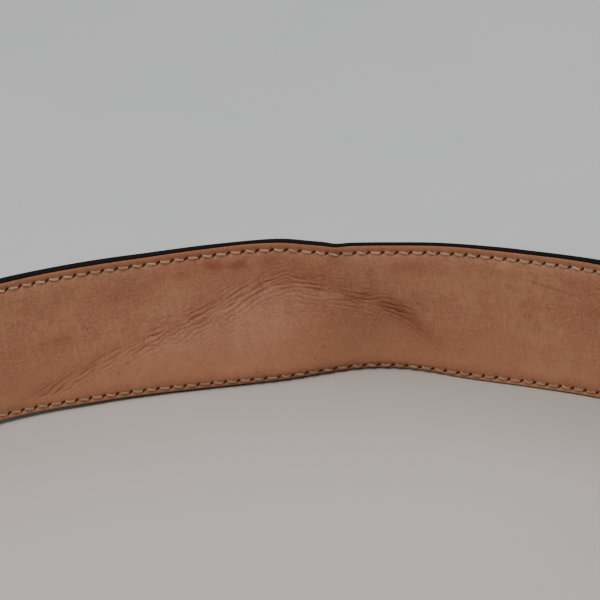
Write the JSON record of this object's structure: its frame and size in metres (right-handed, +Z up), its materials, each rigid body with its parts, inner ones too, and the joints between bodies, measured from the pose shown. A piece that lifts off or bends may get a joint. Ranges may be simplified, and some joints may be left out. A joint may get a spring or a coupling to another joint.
{
  "type": "money belt",
  "caption": "Leather belt with a tan lining, a hidden zipped money pocket along its inside and a prong buckle, laid in an open loop on its edge.",
  "frame": {"origin": "on the ground below the middle of the belt's bounding box", "axes": "+Z up across the belt's width as it stands on its edge, leaning 1.2 degrees; -Y is the buckle's side of the loop, +Y the far side, and +X is along the belt from the buckle's bar"},
  "size_m": [0.2882, 0.2952, 0.0503],
  "materials": {
    "black_leather": "smooth",
    "filler_leather": "raw",
    "tan_lining_leather": "matt",
    "pocket_fabric": "woven",
    "zip_tape": "woven",
    "inner_thread": "twisted",
    "outer_thread": "twisted",
    "nickel": "satin",
    "zip_brass": "satin"
  },
  "bodies": {
    "strap": {"outer_strap": "black_leather", "filler": "filler_leather", "lining": "tan_lining_leather", "pocket_backing": "pocket_fabric", "thread_inner_upper": "inner_thread", "thread_inner_lower": "inner_thread", "thread_outer_upper": "outer_thread", "thread_outer_lower": "outer_thread", "screw_posts": "nickel", "screws": "nickel", "zip_tape_upper": "zip_tape", "zip_tape_lower": "zip_tape", "zip_teeth_upper": "zip_brass", "zip_teeth_lower": "zip_brass", "zip_top_stops": "zip_brass", "zip_bottom_stop": "zip_brass"},
    "buckle": {"buckle_frame": "nickel", "buckle_bar": "nickel"},
    "prong": {"buckle_prong": "nickel"},
    "keeper": {"keeper_loop": "black_leather", "keeper_staple": "nickel"},
    "slider": {"zip_slider": "zip_brass"},
    "pull": {"zip_pull": "zip_brass"}
  },
  "joints": [
    {"name": "buckle_swing", "type": "hinge", "parent": "strap", "child": "buckle", "pos_m": [-0.06399, -0.13643, 0.02506], "axis": [0.0083, 0.0185, 0.9998], "range_deg": [-70, 30]},
    {"name": "prong_swing", "type": "hinge", "parent": "buckle", "child": "prong", "pos_m": [-0.06399, -0.13643, 0.02506], "axis": [0.0083, 0.0185, 0.9998], "range_deg": [0, 110]},
    {"name": "keeper_slide", "type": "slide", "parent": "strap", "child": "keeper", "axis": [1, -0.0001, -0.0083], "range_m": [-0.0035, 0.0035]},
    {"name": "zip_slider_travel", "type": "hinge", "parent": "strap", "child": "slider", "pos_m": [0, 0.00334, 0.02194], "axis": [0.0083, 0.0185, 0.9998], "range_deg": [-78.5, 0], "deforming": ["zip_teeth_upper", "zip_teeth_lower"]},
    {"name": "zip_pull_swing", "type": "hinge", "parent": "slider", "child": "pull", "pos_m": [0.1119, 0.0832, 0.01954], "axis": [-0.0083, -0.0185, -0.9998], "range_deg": [-1, 168]}
  ]
}
